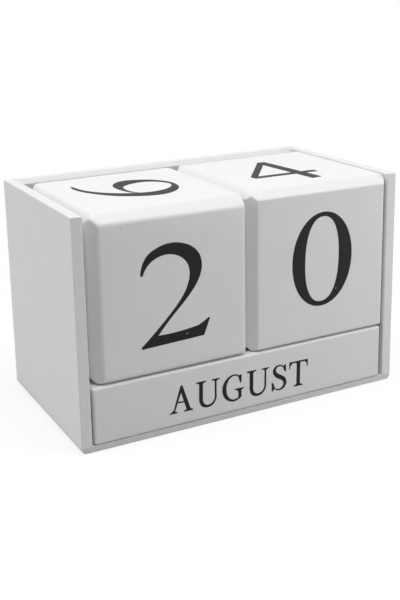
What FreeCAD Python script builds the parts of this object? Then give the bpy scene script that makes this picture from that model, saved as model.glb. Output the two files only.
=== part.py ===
"""Perpetual block calendar: an open-fronted painted wood holder, two date cubes and three month bars.

The holder is four boards. The month bars lie side by side on its base board, and the date cubes
stand on the bars, each with a paint-thin running gap under it. Lengths are millimetres. X runs along
the holder, the open front faces -Y, +Z is up, and the origin is the middle of the holder's footprint.
"""

import FreeCAD, Part
import os
import Sketcher

DOCUMENT = FreeCAD.newDocument("block_calendar")

# Driving dimensions: alias, value, meaning.
SIZES = [
    ("cube_size", 59.4, "edge length of a date cube"),
    ("left_chamfer", 3.8, "leg of the left cube's 45 degree chamfers"),
    ("left_arris", 1.4, "radius that the left cube's other edges and its chamfers' edges are sanded to"),
    ("right_chamfer", 2.9, "leg of the right cube's 45 degree chamfers"),
    ("right_arris", 0.4, "radius that the right cube's other edges and its chamfers' edges are sanded to"),
    ("bar_size", 20.7, "side of a month bar's square section"),
    ("bar_round", 0.9, "radius on every edge of a month bar"),
    ("side_board", 4.0, "thickness of a side board"),
    ("back_board", 5.0, "thickness of the back board"),
    ("base_board", 2.2, "thickness of the base board"),
    ("base_round", 2.0, "radius along the base board's lower side edges"),
    ("base_flat", 0.2, "least height of flat edge that is left above that radius"),
    ("board_ease", 0.4, "radius that eases the boards' free edges"),
    ("rim_reveal", 0.3, "height of the rim above the tops of the cubes"),
    ("seat_gap", 0.05, "running gap under a month bar and under a date cube"),
    ("cube_left_gap", 1.5, "gap between the left side board and the left cube"),
    ("cube_middle_gap", 1.4, "gap between the two cubes"),
    ("cube_right_gap", 0.3, "gap between the right cube and the right side board"),
    ("cube_back_gap", 0.9, "least gap between a date cube and the back board"),
    ("bar_left_gap", 0.8, "gap between the left side board and a month bar"),
    ("bar_right_gap", 1.5, "gap between a month bar and the right side board"),
    ("bar_spacing", 0.3, "gap between neighbouring month bars"),
    ("bar_back_gap", 2.3, "least gap between the rear month bar and the back board"),
]

# Lengths and places that follow from the driving dimensions, as expressions.
CUBE_PITCH = "(Sizes.cube_size + Sizes.cube_middle_gap)"
BAR_PITCH = "(Sizes.bar_size + Sizes.bar_spacing)"
INSIDE_WIDTH = f"(Sizes.cube_left_gap + {CUBE_PITCH} + Sizes.cube_size + Sizes.cube_right_gap)"
BARS_DEPTH = f"(2 * {BAR_PITCH} + Sizes.bar_size + Sizes.bar_back_gap)"
CUBE_DEPTH = "(Sizes.cube_size + Sizes.cube_back_gap)"
INSIDE_DEPTH = f"max({BARS_DEPTH}; {CUBE_DEPTH})"
BASE_ROUND = "min(Sizes.base_round; Sizes.base_board - Sizes.base_flat)"
BAR_SEAT = "(Sizes.base_board + Sizes.seat_gap)"
CUBE_SEAT = f"({BAR_SEAT} + Sizes.bar_size + Sizes.seat_gap)"
WALL_HEIGHT = f"({CUBE_SEAT} - Sizes.base_board + Sizes.cube_size + Sizes.rim_reveal)"
HOLDER_WIDTH = f"({INSIDE_WIDTH} + 2 * Sizes.side_board)"
HOLDER_DEPTH = f"({INSIDE_DEPTH} + Sizes.back_board)"
BAR_LENGTH = f"({INSIDE_WIDTH} - Sizes.bar_left_gap - Sizes.bar_right_gap)"
LEFT_FACE = f"(-{HOLDER_WIDTH} / 2)"
FRONT_FACE = f"(-{HOLDER_DEPTH} / 2)"
INSIDE_LEFT = f"({LEFT_FACE} + Sizes.side_board)"


def fill_sheet():
    """Makes the spreadsheet of driving dimensions, one row for each size."""
    sheet = DOCUMENT.addObject("Spreadsheet::Sheet", "Sizes")
    for row, (alias, value, meaning) in enumerate(SIZES, start=1):
        sheet.set(f"A{row}", meaning)
        sheet.set(f"B{row}", str(value))
        sheet.setAlias(f"B{row}", alias)
    DOCUMENT.recompute()


def new_body(name, place):
    """Makes an empty body at the X, Y and Z expressions in place; its label names its file."""
    body = DOCUMENT.addObject("PartDesign::Body", name)
    body.Label = name
    for axis, expression in zip("xyz", place):
        body.setExpression(f"Placement.Base.{axis}", expression)
    return body


def rectangle(body, role, across, up):
    """Sketches a rectangle on one of the body's origin planes, from the origin.

    It is drawn as a unit square, which the expressions for its dimensions then stretch to size.
    """
    plane = next(item for item in body.Origin.OriginFeatures if item.Role == role)
    sketch = body.newObject("Sketcher::SketchObject", f"{body.Name}_outline")
    sketch.AttachmentSupport = (plane, [""])
    sketch.MapMode = "FlatFace"
    unit = 1
    corners = [FreeCAD.Vector(x, y, 0) for x, y in ((0, 0), (unit, 0), (unit, unit), (0, unit))]
    for corner, next_corner in zip(corners, corners[1:] + corners[:1]):
        sketch.addGeometry(Part.LineSegment(corner, next_corner))
    bottom, right, top, left = range(4)
    start, end = 1, 2
    for line, following in ((bottom, right), (right, top), (top, left), (left, bottom)):
        sketch.addConstraint(Sketcher.Constraint("Coincident", line, end, following, start))
    for line in (bottom, top):
        sketch.addConstraint(Sketcher.Constraint("Horizontal", line))
    for line in (right, left):
        sketch.addConstraint(Sketcher.Constraint("Vertical", line))
    origin_geometry = -1
    sketch.addConstraint(Sketcher.Constraint("Coincident", bottom, start, origin_geometry, start))
    drive(sketch, Sketcher.Constraint("DistanceX", bottom, start, bottom, end, unit), "across", across)
    drive(sketch, Sketcher.Constraint("DistanceY", right, start, right, end, unit), "up", up)
    return sketch


def drive(sketch, constraint, name, expression):
    """Adds a named dimension to a sketch and binds it to an expression."""
    index = sketch.addConstraint(constraint)
    sketch.renameConstraint(index, name)
    sketch.setExpression(f"Constraints.{name}", expression)


def pad(body, sketch, length, reverse=False):
    """Pads a sketch by the length expression, against its plane's normal if reverse is set."""
    feature = body.newObject("PartDesign::Pad", f"{body.Name}_pad")
    feature.Profile = sketch
    feature.Reversed = reverse
    feature.setExpression("Length", length)
    DOCUMENT.recompute()
    return feature


def side_of_middle(edge, box):
    """Gives -1, 0 or 1 along X, Y and Z for an edge at a board's low side, its middle or its high side."""
    middle = edge.BoundBox.Center - box.Center
    thirds = zip(middle, (box.XLength / 3, box.YLength / 3, box.ZLength / 3))
    return [(offset > third) - (offset < -third) for offset, third in thirds]


def dress(body, feature, kind, suffix, size, wanted):
    """Chamfers or rounds the edges of a feature that pass the wanted test.

    The kind is Chamfer or Fillet. The test takes an edge's sides of the middle along X, Y and Z.
    """
    dressing = body.newObject(f"PartDesign::{kind}", f"{body.Name}_{suffix}")
    box = feature.Shape.BoundBox
    numbered = enumerate(feature.Shape.Edges, start=1)
    picked = [f"Edge{number}" for number, edge in numbered if wanted(*side_of_middle(edge, box))]
    dressing.Base = (feature, picked)
    dressing.setExpression({"Chamfer": "Size", "Fillet": "Radius"}[kind], size)
    DOCUMENT.recompute()
    return dressing


def every_edge(x, y, z):
    """Picks all the edges."""
    return True


def all_but_the_foot(x, y, z):
    """Picks every edge that isn't on the underside."""
    return z >= 0


def long_top_edges(x, y, z):
    """Picks the top edges that run along X."""
    return z > 0 and x == 0


def broad_edges(x, y, z):
    """Picks the edges round the left face, and the top edges that run along X."""
    return x < 0 or long_top_edges(x, y, z)


def lower_side_edges(x, y, z):
    """Picks the bottom edges that run along Y."""
    return z < 0 and y == 0


def end_outlines(x, y, z):
    """Picks the outlines of the front and back faces, but for their top edges, which other boards meet."""
    return y != 0 and not long_top_edges(x, y, z)


def side_board(name, left_face):
    """A side board stands on the base board; only the edges of its foot stay square."""
    body = new_body(name, (left_face, FRONT_FACE, "Sizes.base_board"))
    outline = rectangle(body, "YZ_Plane", HOLDER_DEPTH, WALL_HEIGHT)
    board = pad(body, outline, "Sizes.side_board")
    dress(body, board, "Fillet", "ease", "Sizes.board_ease", all_but_the_foot)
    return body


def back_board():
    """The back board stands on the base board between the side boards, with its top edges eased."""
    inner_face = f"({FRONT_FACE} + {INSIDE_DEPTH})"
    body = new_body("back_board", (INSIDE_LEFT, inner_face, "Sizes.base_board"))
    outline = rectangle(body, "XZ_Plane", INSIDE_WIDTH, WALL_HEIGHT)
    board = pad(body, outline, "Sizes.back_board", reverse=True)
    dress(body, board, "Fillet", "ease", "Sizes.board_ease", long_top_edges)
    return body


def base_board():
    """The base board runs under all the others, with its lower side edges rounded over."""
    body = new_body("base_board", (LEFT_FACE, FRONT_FACE, "0"))
    outline = rectangle(body, "XZ_Plane", HOLDER_WIDTH, "Sizes.base_board")
    board = pad(body, outline, HOLDER_DEPTH, reverse=True)
    rounded = dress(body, board, "Fillet", "round", BASE_ROUND, lower_side_edges)
    dress(body, rounded, "Fillet", "ease", "Sizes.board_ease", end_outlines)
    return body


def date_cube(name, left_face, chamfer, arris):
    """A date cube stands on the month bars.

    Its broad chamfers are mitred where they meet. They run out into the right face, whose edges, like
    those along the bottom's front and back, are only sanded.
    """
    body = new_body(name, (left_face, FRONT_FACE, CUBE_SEAT))
    outline = rectangle(body, "XY_Plane", "Sizes.cube_size", "Sizes.cube_size")
    block = pad(body, outline, "Sizes.cube_size")
    chamfered = dress(body, block, "Chamfer", "chamfer", chamfer, broad_edges)
    dress(body, chamfered, "Fillet", "arris", arris, every_edge)
    return body


def month_bar(name, place_in_row):
    """A month bar lies on the base board; the bar at place 0 is the front one."""
    front_face = f"({FRONT_FACE} + {place_in_row} * {BAR_PITCH})"
    left_face = f"({INSIDE_LEFT} + Sizes.bar_left_gap)"
    body = new_body(name, (left_face, front_face, BAR_SEAT))
    section = rectangle(body, "YZ_Plane", "Sizes.bar_size", "Sizes.bar_size")
    bar = pad(body, section, BAR_LENGTH)
    dress(body, bar, "Fillet", "round", "Sizes.bar_round", every_edge)
    return body


def build_holder():
    """Makes the four boards that are glued into the holder."""
    return [
        base_board(),
        back_board(),
        side_board("left_side_board", LEFT_FACE),
        side_board("right_side_board", f"({INSIDE_LEFT} + {INSIDE_WIDTH})"),
    ]


def build_blocks():
    """Makes the loose blocks: the month bars from front to rear, and the date cubes."""
    bar_names = ("month_bar_front", "month_bar_middle", "month_bar_rear")
    bars = [month_bar(name, place) for place, name in enumerate(bar_names)]
    left_face = f"({INSIDE_LEFT} + Sizes.cube_left_gap)"
    right_face = f"({left_face} + {CUBE_PITCH})"
    left_cube = date_cube("date_cube_left", left_face, "Sizes.left_chamfer", "Sizes.left_arris")
    right_cube = date_cube("date_cube_right", right_face, "Sizes.right_chamfer", "Sizes.right_arris")
    return [*bars, left_cube, right_cube]


def check(bodies):
    """Stops if any object failed to build or a body's shape isn't one sound solid."""
    failed = [item.Label for item in DOCUMENT.Objects if {"Invalid", "Error"} & set(item.State)]
    for body in bodies:
        if body.Shape.isNull() or not body.Shape.isValid() or len(body.Shape.Solids) != 1:
            failed.append(body.Label)
    if failed:
        raise RuntimeError(f"these objects failed: {failed}")


def main():
    """Builds every sub-part and writes each to its own STEP file."""
    fill_sheet()
    bodies = build_holder() + build_blocks()
    DOCUMENT.recompute()
    check(bodies)
    os.makedirs("parts", exist_ok=True)
    for body in bodies:
        body.Shape.exportStep(os.path.join("parts", f"{body.Label}.step"))
        print(f"{body.Label}: {body.Shape.Volume:.1f} mm3, {len(body.Shape.Faces)} faces")


main()
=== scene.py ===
"""Dresses the perpetual block calendar.

The side boards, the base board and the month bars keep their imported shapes. The back board is remade with a
planed inner edge. Each date cube is remade in its own box with mitred, hand-sanded chamfers and a shallow
relief under its front edge. All get satin white paint over fine-grained wood. Each date cube has a
screen-printed numeral on its six faces, and each month bar has a month's name on its four long faces. Lengths
are metres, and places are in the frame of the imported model.
"""

import logging
import math
from collections.abc import Callable, Mapping, Sequence
from dataclasses import dataclass, field
from enum import Enum
from functools import cache
from itertools import combinations

import bpy
import numpy as np
from mathutils import Euler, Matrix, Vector, geometry


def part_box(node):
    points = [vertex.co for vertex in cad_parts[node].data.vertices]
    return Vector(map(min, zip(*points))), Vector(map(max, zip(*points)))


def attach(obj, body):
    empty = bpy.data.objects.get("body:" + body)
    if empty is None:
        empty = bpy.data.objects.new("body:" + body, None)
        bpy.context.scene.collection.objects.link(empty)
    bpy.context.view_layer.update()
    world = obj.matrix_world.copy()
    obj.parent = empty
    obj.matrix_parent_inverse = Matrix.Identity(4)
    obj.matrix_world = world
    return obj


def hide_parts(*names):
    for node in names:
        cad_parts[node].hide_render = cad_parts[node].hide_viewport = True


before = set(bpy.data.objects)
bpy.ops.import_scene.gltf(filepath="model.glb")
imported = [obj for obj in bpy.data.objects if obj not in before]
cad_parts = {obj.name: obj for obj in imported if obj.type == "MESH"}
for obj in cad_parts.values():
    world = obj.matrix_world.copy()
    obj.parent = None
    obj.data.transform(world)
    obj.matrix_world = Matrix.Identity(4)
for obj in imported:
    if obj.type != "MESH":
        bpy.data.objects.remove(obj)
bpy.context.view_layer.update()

LOG = logging.getLogger("block_calendar")
MM = 0.001
IMAGE_HEIGHT = 600  # pixels of the longer side, of which the camera's shifts are shares

Colour = tuple[float, float, float]
Place = tuple[float, float, float]
Point = tuple[float, float]
Stroke = np.ndarray  # rows x 2 edges x 2 coordinates


def put(name: str, data: bpy.types.ID) -> bpy.types.Object:
    """Makes an object and links it to the scene.

    Args:
        name: the object's name.
        data: its mesh, light or camera.

    Returns:
        The object.
    """
    made = bpy.data.objects.new(name, data)
    bpy.context.scene.collection.objects.link(made)
    return made


# --- Shader writing ---------------------------------------------------------------------------------------


class Value:
    """An output socket of a node tree. Arithmetic on it adds Math nodes."""

    def __init__(self, nodes: "NodeWriter", socket: bpy.types.NodeSocket) -> None:
        """Wraps a socket of the tree that the writer fills."""
        self.nodes = nodes
        self.socket = socket

    def __add__(self, other: "Value | float") -> "Value":
        """Adds."""
        return self.nodes.math("ADD", self, other)

    def __radd__(self, other: float) -> "Value":
        """Adds to a number."""
        return self.nodes.math("ADD", other, self)

    def __sub__(self, other: "Value | float") -> "Value":
        """Subtracts."""
        return self.nodes.math("SUBTRACT", self, other)

    def __rsub__(self, other: float) -> "Value":
        """Subtracts from a number."""
        return self.nodes.math("SUBTRACT", other, self)

    def __mul__(self, other: "Value | float") -> "Value":
        """Multiplies."""
        return self.nodes.math("MULTIPLY", self, other)

    def __rmul__(self, other: float) -> "Value":
        """Multiplies a number."""
        return self.nodes.math("MULTIPLY", other, self)

    def __truediv__(self, other: "Value | float") -> "Value":
        """Divides."""
        return self.nodes.math("DIVIDE", self, other)

    def __rtruediv__(self, other: float) -> "Value":
        """Divides a number."""
        return self.nodes.math("DIVIDE", other, self)

    def __pow__(self, other: float) -> "Value":
        """Raises to a power."""
        return self.nodes.math("POWER", self, other)

    def __abs__(self) -> "Value":
        """Drops the sign."""
        return self.nodes.math("ABSOLUTE", self)

    def lowest(self, other: "Value | float") -> "Value":
        """Gives the lower of the two."""
        return self.nodes.math("MINIMUM", self, other)

    def highest(self, other: "Value | float") -> "Value":
        """Gives the higher of the two."""
        return self.nodes.math("MAXIMUM", self, other)

    def above(self, limit: float) -> "Value":
        """Gives 1 where this is over the limit, and 0 elsewhere."""
        return self.nodes.math("GREATER_THAN", self, limit)

    def fade(self, zero: float, one: float) -> "Value":
        """Gives a smooth step between two values.

        Args:
            zero: the value at which it is 0.
            one: the value at which it is 1.

        Returns:
            The step.
        """
        settings = {"interpolation_type": "SMOOTHSTEP"}
        sockets = {"Value": self, "From Min": zero, "From Max": one}
        return self.nodes.add("ShaderNodeMapRange", settings, sockets)["Result"]


class Made:
    """A node that was added. Its outputs are read by name or number."""

    def __init__(self, nodes: "NodeWriter", node: bpy.types.Node) -> None:
        """Holds the node and the writer that made it."""
        self.nodes = nodes
        self.node = node

    def __getitem__(self, output: str | int) -> Value:
        """Gives one output."""
        return Value(self.nodes, self.node.outputs[output])


class NodeWriter:
    """Fills the node tree of a material or world.

    Specks and spots are full in a core, which is given as a share of their radius.
    """

    SPECK_CORE = 0.5
    SPOT_CORE = 0.3

    def __init__(self, owner: bpy.types.Material | bpy.types.World) -> None:
        """Empties the owner's node tree.

        Args:
            owner: the material or world.
        """
        owner.use_nodes = True
        self.tree = owner.node_tree
        self.tree.nodes.clear()

    def add(
        self,
        kind: str,
        settings: Mapping[str, object] | None = None,
        sockets: Mapping[str | int, object] | None = None,
    ) -> Made:
        """Adds a node.

        Args:
            kind: the node's type.
            settings: its properties, which are set first.
            sockets: the value or link of each socket that isn't left as it is.

        Returns:
            The node, whose outputs are read by name or number.
        """
        node = self.tree.nodes.new(kind)
        for name, setting in (settings or {}).items():
            setattr(node, name, setting)
        for name, given in (sockets or {}).items():
            if isinstance(given, Value):
                self.tree.links.new(given.socket, node.inputs[name])
            elif isinstance(given, tuple) and len(given) == 3 and node.inputs[name].type == "RGBA":
                node.inputs[name].default_value = (*given, 1.0)
            else:
                node.inputs[name].default_value = given
        return Made(self, node)

    def math(self, operation: str, *operands: Value | float) -> Value:
        """Adds a Math node and gives its result."""
        return self.add("ShaderNodeMath", {"operation": operation}, dict(enumerate(operands)))["Value"]

    def noise(self, place: Value, size: float, detail: float = 2.0, roughness: float = 0.5) -> Value:
        """Adds noise with a mean of 0.

        Args:
            place: where it is read.
            size: the size of its lumps.
            detail: how many finer layers it has.
            roughness: how strong the finer layers are.

        Returns:
            A value of about -0.5 to 0.5.
        """
        sockets = {"Vector": place, "Scale": 1 / size, "Detail": detail, "Roughness": roughness}
        return self.add("ShaderNodeTexNoise", None, sockets)["Fac"] - 0.5

    def specks(self, place: Value, cell: float, radius: float, share: float) -> Value:
        """Adds rare dots.

        A dot is where the distance to a scattered point, one in each cell of space, is under a radius, and
        only in the share of the cells whose random number is high enough.

        Args:
            place: where they are read.
            cell: the size of a cell.
            radius: the radius of the largest dot.
            share: the share of the cells that have one.

        Returns:
            1 inside a dot, and 0 elsewhere.
        """
        made = self.add("ShaderNodeTexVoronoi", None, {"Vector": place, "Scale": 1 / cell})
        chance = self.add("ShaderNodeSeparateColor", None, {"Color": made["Color"]})
        inside = made["Distance"].fade(radius / cell, self.SPECK_CORE * radius / cell)
        return inside * chance["Red"].above(1 - share)

    def spots(self, place: Value, middles: Sequence[Place], radius: float) -> Value:
        """Adds dots at chosen places.

        Args:
            place: where they are read.
            middles: the middle of each dot.
            radius: the radius of a dot.

        Returns:
            1 near the middle of a dot, falling to 0 at its radius.
        """
        found: Value | float = 0.0
        for middle in middles:
            sockets = {0: place, 1: middle}
            reach = self.add("ShaderNodeVectorMath", {"operation": "DISTANCE"}, sockets)["Value"]
            found = reach.fade(radius, self.SPOT_CORE * radius).highest(found)
        return found

    def blend(self, share: Value, first: Colour, second: "Colour | Value") -> Value:
        """Mixes two colours, of which a share of 1 gives the second."""
        settings = {"data_type": "RGBA"}
        return self.add("ShaderNodeMix", settings, {0: share, 6: first, 7: second})[2]

    def output(self, kind: str, surface: Value) -> None:
        """Adds the output node and joins the surface to it."""
        self.add(kind, None, {"Surface": surface})

    def coating(self, shade: Value, roughness: Value, relief: Value, specular: float = 0.5) -> None:
        """Ends a material with an opaque coating.

        Args:
            shade: its colour.
            roughness: its roughness.
            relief: the height of its fine relief.
            specular: the level of its mirror light.
        """
        bump = self.add("ShaderNodeBump", None, {"Height": relief, "Distance": 1.0})
        sockets = {
            "Base Color": shade,
            "Roughness": roughness,
            "Specular IOR Level": specular,
            "Normal": bump["Normal"],
        }
        self.output("ShaderNodeOutputMaterial", self.add("ShaderNodeBsdfPrincipled", None, sockets)["BSDF"])


class Axis(Enum):
    """The directions that the grain of the wood can run in."""

    X = 0
    Y = 1
    Z = 2


def grey(level: float) -> Colour:
    """Gives a neutral colour of a linear level."""
    return (level, level, level)


def greys_about(level: float, reach: float) -> tuple[Colour, Colour]:
    """Gives the neutral colours that lie a share of a linear level below it and above it."""
    return grey(level * (1 - reach)), grey(level * (1 + reach))


# --- Finishes ---------------------------------------------------------------------------------------------


@dataclass(frozen=True)
class PaintedWood:
    """Satin white paint over fine-grained wood, on a box-shaped block or board.

    The tone drifts in broad soft patches and in fine streaks along the grain, which telegraph through the
    paint. Sanded arrises are a little thinner in paint, and handling leaves rare specks. The top edge of a
    board can be darker than its faces as painted shade, and a block can have faint stains at chosen places.
    """

    name: str
    grain: Axis
    middle: Place
    half: Place
    chamfer: float
    level: float = 0.82
    tone_reach: float = 0.10
    # Painted shade: a board's top edge can be darkened to this level, below that of its faces.
    rim_level: float | None = None
    rim_depth: float = 0.4 * MM
    rim_core: float = 0.3
    stains: Sequence[Place] = ()
    stain_radius: float = 0.42 * MM
    stain_strength: float = 0.30
    patch_size: float = 16 * MM
    patch_strength: float = 0.055
    streak_width: float = 0.9 * MM
    streak_length: float = 30 * MM
    streak_strength: float = 0.060
    streak_height: float = 0.028 * MM
    peel_size: float = 0.7 * MM
    peel_height: float = 0.006 * MM
    wear_reach: float = 0.40 * MM
    wear_size: float = 5 * MM
    wear_none: float = -0.1
    wear_full: float = 0.25
    wear_strength: float = 0.14
    wear_level: float = 0.40
    wear_roughness: float = 0.12
    speck_cell: float = 4.5 * MM
    speck_radius: float = 0.34 * MM
    speck_share: float = 0.05
    speck_level: float = 0.30
    speck_strength: float = 0.22
    roughness: float = 0.46
    roughness_spread: float = 0.10

    def material(self) -> bpy.types.Material:
        """Makes the paint's material.

        Returns:
            The material.
        """
        made = bpy.data.materials.new(self.name)
        nodes = NodeWriter(made)
        place = nodes.add("ShaderNodeTexCoord")["Object"]
        patches = nodes.noise(place, self.patch_size, detail=3)
        streaks = nodes.noise(self.along_grain(nodes, place), self.streak_width, detail=3, roughness=0.6)
        peel = nodes.noise(place, self.peel_size, detail=1)
        tone = patches * self.patch_strength + streaks * self.streak_strength
        shade = nodes.blend(0.5 + tone / (2 * self.tone_reach), *greys_about(self.level, self.tone_reach))
        uneven = nodes.noise(place, self.wear_size, detail=3).fade(self.wear_none, self.wear_full)
        worn = self.arris(nodes, place) * uneven
        shade = nodes.blend(1 - self.wear_strength * worn, grey(self.wear_level), shade)
        dots = nodes.specks(place, self.speck_cell, self.speck_radius, self.speck_share)
        shade = nodes.blend(1 - self.speck_strength * dots, grey(self.speck_level), shade)
        if self.stains:
            stained = nodes.spots(place, self.stains, self.stain_radius)
            shade = nodes.blend(1 - self.stain_strength * stained, grey(self.speck_level), shade)
        # Painted shade: the strip along the board's top edge is darkened to the rim level.
        if self.rim_level is not None:
            top = self.middle[2] + self.half[2]
            rise = nodes.add("ShaderNodeSeparateXYZ", None, {"Vector": place})["Z"]
            rim_shade = rise.fade(top - self.rim_depth, top - self.rim_core * self.rim_depth)
            shade = nodes.blend(1 - rim_shade, grey(self.rim_level), shade)
        roughness = self.roughness + patches * self.roughness_spread + self.wear_roughness * worn
        nodes.coating(shade, roughness, streaks * self.streak_height + peel * self.peel_height)
        return made

    def along_grain(self, nodes: NodeWriter, place: Value) -> Value:
        """Squeezes a coordinate along the grain, so that noise read there is drawn out into streaks.

        Args:
            nodes: the writer of the material.
            place: the coordinate.

        Returns:
            The squeezed coordinate.
        """
        scale = [1.0, 1.0, 1.0]
        scale[self.grain.value] = self.streak_width / self.streak_length
        return nodes.add("ShaderNodeMapping", None, {"Vector": place, "Scale": tuple(scale)})["Vector"]

    def arris(self, nodes: NodeWriter, place: Value) -> Value:
        """Finds the block's arrises.

        The depth of a point under each pair of opposite faces is half the block's length less the distance
        from its middle. On an arris the least depth is 0, and the next is 0 too or the chamfer's leg.

        Args:
            nodes: the writer of the material.
            place: the coordinate of the point.

        Returns:
            1 on an arris, falling to 0 at the wear's reach.
        """
        offset = nodes.add("ShaderNodeVectorMath", {"operation": "SUBTRACT"}, {0: place, 1: self.middle})
        parts = nodes.add("ShaderNodeSeparateXYZ", None, {"Vector": offset["Vector"]})
        depths = [length - abs(parts[axis]) for axis, length in enumerate(self.half)]
        least = depths[0].lowest(depths[1]).lowest(depths[2])
        most = depths[0].highest(depths[1]).highest(depths[2])
        second = depths[0] + depths[1] + depths[2] - least - most
        aside = second.lowest(abs(second - self.chamfer))
        return nodes.math("SQRT", least**2 + aside**2).fade(self.wear_reach, 0.0)


@dataclass(frozen=True)
class Ink:
    """Matt black screen-printed ink, with rare faint pinholes and two plain ones that show the paint."""

    name: str = "print_ink"
    level: float = 0.007
    roughness: float = 0.50
    specular: float = 0.18
    cloud_size: float = 5 * MM
    cloud_strength: float = 0.3
    cloud_roughness: float = 0.12
    grain_size: float = 0.25 * MM
    grain_height: float = 0.004 * MM
    pinhole_cell: float = 6 * MM
    pinhole_radius: float = 0.35 * MM
    pinhole_share: float = 0.06
    pinhole_level: float = 0.10
    bare_spots: Sequence[Place] = ((-24.2 * MM, -35 * MM, 36.0 * MM), (38.3 * MM, -35 * MM, 41.9 * MM))
    bare_radius: float = 0.42 * MM
    bare_level: float = 0.30

    def material(self) -> bpy.types.Material:
        """Makes the ink's material.

        Returns:
            The material.
        """
        made = bpy.data.materials.new(self.name)
        nodes = NodeWriter(made)
        place = nodes.add("ShaderNodeTexCoord")["Object"]
        cloud = nodes.noise(place, self.cloud_size, detail=4)
        shade = nodes.blend(0.5 + cloud, *greys_about(self.level, self.cloud_strength))
        holes = nodes.specks(place, self.pinhole_cell, self.pinhole_radius, self.pinhole_share)
        shade = nodes.blend(1 - holes, grey(self.pinhole_level), shade)
        bare = nodes.spots(place, self.bare_spots, self.bare_radius)
        shade = nodes.blend(1 - bare, grey(self.bare_level), shade)
        grain = nodes.noise(place, self.grain_size, detail=2) * self.grain_height
        nodes.coating(shade, self.roughness + cloud * self.cloud_roughness, grain, self.specular)
        return made


# --- Lettering --------------------------------------------------------------------------------------------


def flow(points: Sequence[Point], count: int) -> np.ndarray:
    """Draws a smooth curve through points.

    Between two points the curve is the cubic that meets both with given slopes, over the chord's length. The
    slope at a point is the second-order difference of its neighbours.

    Args:
        points: the points that the curve passes through.
        count: how many places on the curve are wanted.

    Returns:
        The places, evenly spaced along the chords, as rows of x and y.
    """
    knots = np.asarray(points, float)
    chords = np.linalg.norm(np.diff(knots, axis=0), axis=1)
    reach = np.concatenate([[0.0], np.cumsum(chords)])
    slopes = np.gradient(knots, reach, axis=0, edge_order=min(2, len(knots) - 1))
    at = np.linspace(0.0, reach[-1], count)
    span = np.clip(np.searchsorted(reach, at, side="right") - 1, 0, len(knots) - 2)
    width = chords[span][:, None]
    t = (at - reach[span])[:, None] / width
    start = (1 + 2 * t) * (1 - t) ** 2 * knots[span] + t * (1 - t) ** 2 * width * slopes[span]
    end = t**2 * (3 - 2 * t) * knots[span + 1] + t**2 * (t - 1) * width * slopes[span + 1]
    return start + end


def between(first: Sequence[Point], second: Sequence[Point], count: int = 30) -> Stroke:
    """Draws a stroke as the ruled strip between two edges.

    Each edge is a smooth curve through its points. Two straight edges need no rows between their ends.

    Args:
        first: the points of one edge.
        second: the points of the other.
        count: how many rows the stroke has.

    Returns:
        The stroke.
    """
    if len(first) == len(second) == 2:
        count = 2
    return np.stack([flow(first, count), flow(second, count)], axis=1)


def nib(points: Sequence[Point], widths: Sequence[float], count: int = 30) -> Stroke:
    """Draws a stroke as a nib of changing width would.

    Each edge is the smooth curve through the points, moved by half the width along the curve's normal. The
    width runs smoothly from each point's value to the next.

    Args:
        points: the points that the nib's middle passes through.
        widths: the width at each point.
        count: how many rows the stroke has.

    Returns:
        The stroke.
    """
    line = flow([(*point, width) for point, width in zip(points, widths)], count)
    along = np.gradient(line[:, :2], axis=0)
    along /= np.linalg.norm(along, axis=1, keepdims=True)
    normal = np.stack([-along[:, 1], along[:, 0]], axis=1)
    half = line[:, 2:] / 2
    return np.stack([line[:, :2] + normal * half, line[:, :2] - normal * half], axis=1)


@dataclass(frozen=True)
class Oval:
    """A superellipse that leans: |x / a|^n + |y / b|^n = 1, with x moved on by the lean times y."""

    middle: Point
    half: Point
    power: float = 2.0
    lean: float = 0.0

    def points(self, angles: np.ndarray) -> np.ndarray:
        """Gives places on the curve.

        Args:
            angles: the angles at which they are wanted.

        Returns:
            The places, as rows of x and y.
        """
        turned = np.stack([np.cos(angles), np.sin(angles)], axis=1)
        place = np.sign(turned) * np.abs(turned) ** (2 / self.power) * self.half
        place[:, 0] += self.lean * place[:, 1]
        return place + self.middle


def ring(outer: Oval, inner: Oval, count: int = 73) -> Stroke:
    """Draws a closed stroke as the strip between two ovals, at equal angles."""
    angles = np.linspace(0.0, 2 * np.pi, count)
    return np.stack([outer.points(angles), inner.points(angles)], axis=1)


class End(Enum):
    """The ends of a stem, each with the way from its flat end into the stem, up or down."""

    FOOT = 1
    HEAD = -1


def serif(x: float, y: float, end: End, half: float, neck: float) -> Stroke:
    """Draws a bracketed serif.

    Its half width is full over the slab's thickness, and then falls to the neck's as the cube of the distance
    that is left to the bracket's end.

    Args:
        x: its middle.
        y: the level of its flat end.
        end: the end of the stem that it is on.
        half: half of its full width.
        neck: half of the width of the stem that it ends.

    Returns:
        The stroke.
    """
    slab, bracket, bracket_rows = 0.040, 0.125, 9
    rise = np.concatenate([[0.0], np.linspace(slab, bracket, bracket_rows)])
    left_over = np.clip((bracket - rise) / (bracket - slab), 0.0, 1.0)
    width = neck + (half - neck) * left_over**3
    level = y + end.value * rise
    return np.stack([np.stack([x - width, level], 1), np.stack([x + width, level], 1)], axis=1)


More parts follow.
